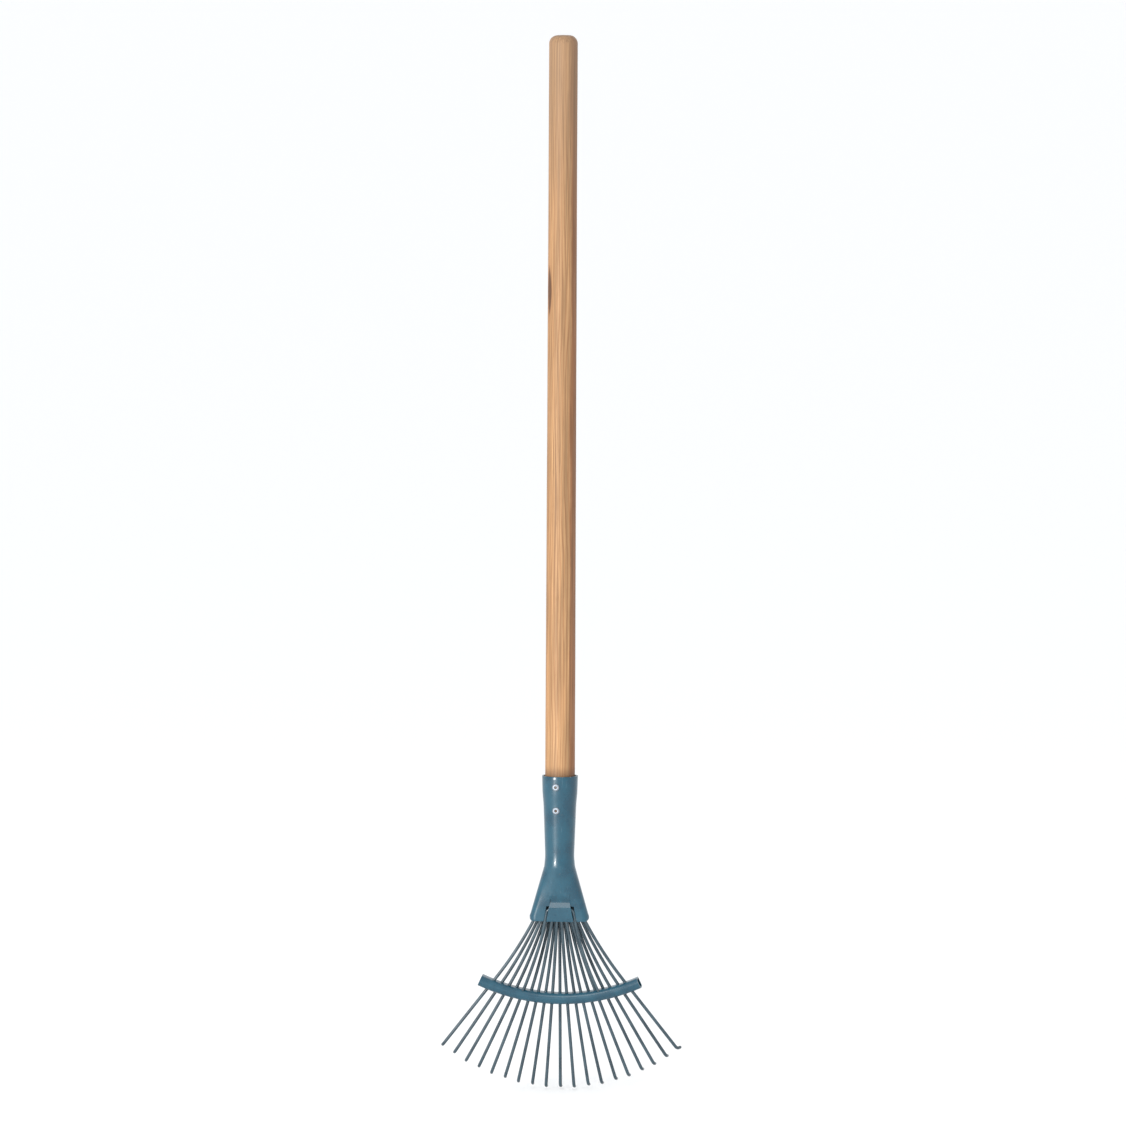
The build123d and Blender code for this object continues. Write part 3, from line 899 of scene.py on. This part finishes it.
# %% Bending wire
class Wire:
    """A round wire that grows from its last ring."""

    def __init__(self, start, way, radius, sides=16):
        self.shape = bmesh.new()
        self.radius = radius
        turned = way.to_track_quat("Z", "Y").to_matrix().to_4x4()
        place = Matrix.Translation(start * mm) @ turned
        bmesh.ops.create_circle(self.shape, segments=sides, radius=radius * mm, matrix=place)
        self.first = self.shape.edges[:]
        self.pick_up(start, way)

    def pick_up(self, start, way):
        """Goes on from the first ring, in a new direction."""
        self.ring = self.first
        self.at = start.copy()
        self.way = way.normalized()

    def grow(self):
        """One more ring, on the last one, and its points."""
        made = bmesh.ops.extrude_edge_only(self.shape, edges=self.ring)
        self.ring = [item for item in made["geom"] if isinstance(item, bmesh.types.BMEdge)]
        self.ring = [edge for edge in self.ring if len(edge.link_faces) == 1]
        return list({vert for edge in self.ring for vert in edge.verts})

    def straight(self, length, pieces=1):
        step = self.way * (length / pieces)
        for _ in range(pieces):
            bmesh.ops.translate(self.shape, verts=self.grow(), vec=step * mm)
            self.at += step

    def bend(self, radius, angle, about, pieces=8):
        """Turns by an angle about an axis, on a former of some radius."""
        if abs(angle) < 1e-9:
            return
        centre = self.at + about.cross(self.way).normalized() * math.copysign(radius, angle)
        turn = Matrix.Rotation(angle / pieces, 3, about)
        for _ in range(pieces):
            bmesh.ops.rotate(self.shape, verts=self.grow(), cent=centre * mm, matrix=turn)
            self.at = centre + turn @ (self.at - centre)
            self.way = turn @ self.way

    def end(self, rounding=0.5, pieces=4):
        """A blunt end with a rounded edge."""
        for number in range(1, pieces + 1):
            before = math.radians(90) * (number - 1) / pieces
            after = math.radians(90) * number / pieces
            forward = rounding * (math.sin(after) - math.sin(before))
            wide = self.radius - rounding * (1 - math.cos(after))
            wide_before = self.radius - rounding * (1 - math.cos(before))
            verts = self.grow()
            bmesh.ops.translate(self.shape, verts=verts, vec=self.way * forward * mm)
            self.at += self.way * forward
            for vert in verts:
                vert.co = self.at * mm + (vert.co - self.at * mm) * (wide / wide_before)
        bmesh.ops.contextual_create(self.shape, geom=self.ring)


# %% [markdown]
# ## The tines
#
# Each tine is one wire from the tine plate to its hook. It starts upright in the socket, leans out, bends
# gently back until it points along its ray, and ends in a hook that the leaves catch on. Odd and even
# tines stand in two rows, which leaves room for nineteen wires in a narrow mouth. In the frame a tine
# turns about its hole in the crossbar. A spring wire doesn't fold there; here each wire is built in its
# rest shape, rides on no body, and has close rings for a length below the crossbar.

# %% Tines
tine_count = 19
tine_step = math.radians(4.22)
fan_radius = 168.5
straight_above_bar = 3.0
spring_length = 60.0
spring_share = 0.27
straight_in_mouth = 11.5
root_bend = 20.0
root_above_centre = 8.0
root_rounding = 0.5
hook_bend = 3.0
hook_angle = math.radians(75)
hook_length = 3.5
outer_splay = math.radians(24)
tip_rounding = 0.9
flex_length = 34.0


def along_ray(angle, radius):
    """How far down a tine's ray it meets a circle about the crossbar's centre."""
    return math.sqrt(radius ** 2 - (bar_centre_y * math.sin(angle)) ** 2) - bar_centre_y * math.cos(angle)


def tine(number):
    angle = number * tine_step
    row = row_offset if number % 2 else -row_offset
    down = right * math.sin(angle) - up * math.cos(angle)
    pivot_drop = along_ray(angle, bar_radius + (bar_height - sheet) / 2)
    pivot = in_fan(0.0, 0.0, row) + down * pivot_drop
    wire = Wire(pivot, -down, tine_radius)

    # up from the crossbar to the plate in the socket
    above_bar = along_ray(angle, bar_top_radius) - straight_above_bar
    wire.straight(pivot_drop - above_bar, 4)
    spring_turn = spring_share * angle
    if number:
        wire.bend(spring_length / abs(spring_turn), -spring_turn, front, 12)
        wire.straight(straight_in_mouth)
        wire.bend(root_bend, spring_turn - angle, front, 8)
    height = (wire.at - fan_centre).dot(up)
    wire.straight(root_above_centre - height - root_rounding)
    wire.end(root_rounding, 3)

    # down from the crossbar to the hook
    wire.pick_up(pivot, down)
    along_hook = hook_bend + tine_radius
    reach = along_hook * math.sin(hook_angle) + hook_length * math.cos(hook_angle)
    straight = fan_radius - reach - pivot_drop
    wire.straight(flex_length, 17)
    wire.straight(straight - flex_length, 3)
    splay = outer_splay if number == tine_count // 2 else 0.0
    outwards = right * math.cos(angle) + up * math.sin(angle)
    hook_way = outwards * math.sin(splay) - front * math.cos(splay)
    wire.bend(hook_bend, hook_angle, down.cross(hook_way), 9)
    wire.straight(hook_length - tip_rounding, 2)
    wire.end(tip_rounding)

    name = f"{number + tine_count // 2 + 1:02d}"
    nodes = [f"tine_root_{name}", f"tine_{name}"]
    piece = finished(wire.shape, f"tine_wire_{name}", wire_paint, nodes, body=None)
    pivot * mm
    (pivot + down * flex_length) * mm
    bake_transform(piece)
    return piece


tine_pieces = [tine(number) for number in range(-(tine_count // 2), tine_count // 2 + 1)]
print(len(tine_pieces), "tines")

# %% [markdown]
# ## The brace wire
#
# One thin wire loops under the tongue and runs down to two holes in the crossbar, which it holds at the
# right distance. Both halves start from the middle of the loop, so the two legs come out as mirror
# images.

# %% Brace wire
leg_at_mouth = tongue_low_width / 2 + (brace_radius + brace_fit) / math.cos(tongue_slope)
bridge_height = 10.5
leg_at_bridge = leg_at_mouth - bridge_height * math.tan(tongue_slope)
corner_radius = 3.0
brace_up = Vector((0.0, -math.sin(brace_lean), math.cos(brace_lean)))
brace_front = Vector((0.0, -math.cos(brace_lean), -math.sin(brace_lean)))
brace_drop = (brace_top.z - brace_end.z) / math.cos(brace_lean)
leg_turn = 2 * (math.atan((brace_half_span - leg_at_mouth) / brace_drop) - tongue_slope)
leg_radius = brace_drop / (math.sin(tongue_slope + leg_turn) - math.sin(tongue_slope))
corner_angle = math.radians(90) - tongue_slope
corner_reach = corner_radius * math.tan(corner_angle / 2)

bridge = brace_top + brace_up * bridge_height
brace = Wire(bridge, right, brace_radius, 14)
for side in (1, -1):
    brace.pick_up(bridge, right * side)
    brace.straight(leg_at_bridge - corner_reach, 3)
    brace.bend(corner_radius, -side * corner_angle, brace_front, 7)
    brace.straight(bridge_height / math.cos(tongue_slope) - corner_reach, 2)
    brace.bend(leg_radius, side * leg_turn, brace_front, 10)
    brace.end(0.4, 3)
brace_piece = finished(brace.shape, "brace_wire_loop", wire_paint, ["brace_wire"])

# %% [markdown]
# ## The crossbar
#
# The crossbar is a curved hollow bar with a hole for every wire in its upper and its lower wall. The
# frame holds it exactly, with all forty holes, and nothing is gained by cutting them again. What a solid
# from a drawing lacks is soft edges, so a copy is welded, its flat triangles are joined into clean faces,
# and a Bevel rounds every edge of the sheet.

# %% Crossbar
def soft_copy(node, name, material, width):
    """A welded copy of a CAD node's mesh, with its edges taken off."""
    shape = bmesh.new()
    shape.from_mesh(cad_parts[node].data)
    bmesh.ops.remove_doubles(shape, verts=shape.verts, dist=0.002 * mm)
    bmesh.ops.dissolve_limit(
        shape, angle_limit=math.radians(0.6), verts=shape.verts, edges=shape.edges
    )
    piece = finished(shape, name, material, [node])
    round_edges(piece, width)
    return piece


crossbar = soft_copy("crossbar", "crossbar_bar", bar_paint, 0.18)

# %% [markdown]
# ## The rivets
#
# A blind rivet head is a small dome with a hole. It is another lathe piece, spun about the rivet's own
# axis. The outline goes down the bore, over a rolled lip, across the dome and under its edge into the
# sheet.

# %% Rivets
head_radius = 3.2
head_height = 1.3
bore_radius = 0.95
rivet_turn = math.radians(8)


def rivet(place):
    """One rivet, centred on its mandrel in the frame."""
    low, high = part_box(f"mandrel_{place}")
    shape = bmesh.new()
    height = (low.z + high.z) / 2
    seat = straight_between(tube_steps, rim_height - height / mm)
    top = seat + head_height
    profile = [
        (bore_radius, top - 4.0),
        (bore_radius, top - 0.55),
        (bore_radius + 0.30, top - 0.16),
        (bore_radius + 0.6, top - 0.02),
        (1.9, top),
        (2.45, top - 0.22),
        (2.88, top - 0.52),
        (3.12, top - 0.86),
        (head_radius, seat + 0.12),
        (head_radius - 0.05, seat - 0.6),
    ]
    corners = [shape.verts.new((radius * mm, -depth * mm, 0.0)) for radius, depth in profile]
    edges = [shape.edges.new(pair) for pair in zip(corners, corners[1:])]
    bmesh.ops.spin(
        shape,
        geom=corners + edges,
        cent=(0.0, 0.0, 0.0),
        axis=(0.0, 1.0, 0.0),
        angle=math.radians(360),
        steps=40,
        use_merge=True,
    )
    bmesh.ops.rotate(shape, verts=shape.verts, matrix=Matrix.Rotation(-rivet_turn, 3, "Z"))
    bmesh.ops.translate(shape, verts=shape.verts, vec=(0.0, 0.0, height))
    return finished(shape, f"rivet_head_{place}", rivet_finish, [f"rivet_{place}"])


rivets = [rivet(place) for place in ("upper", "lower")]
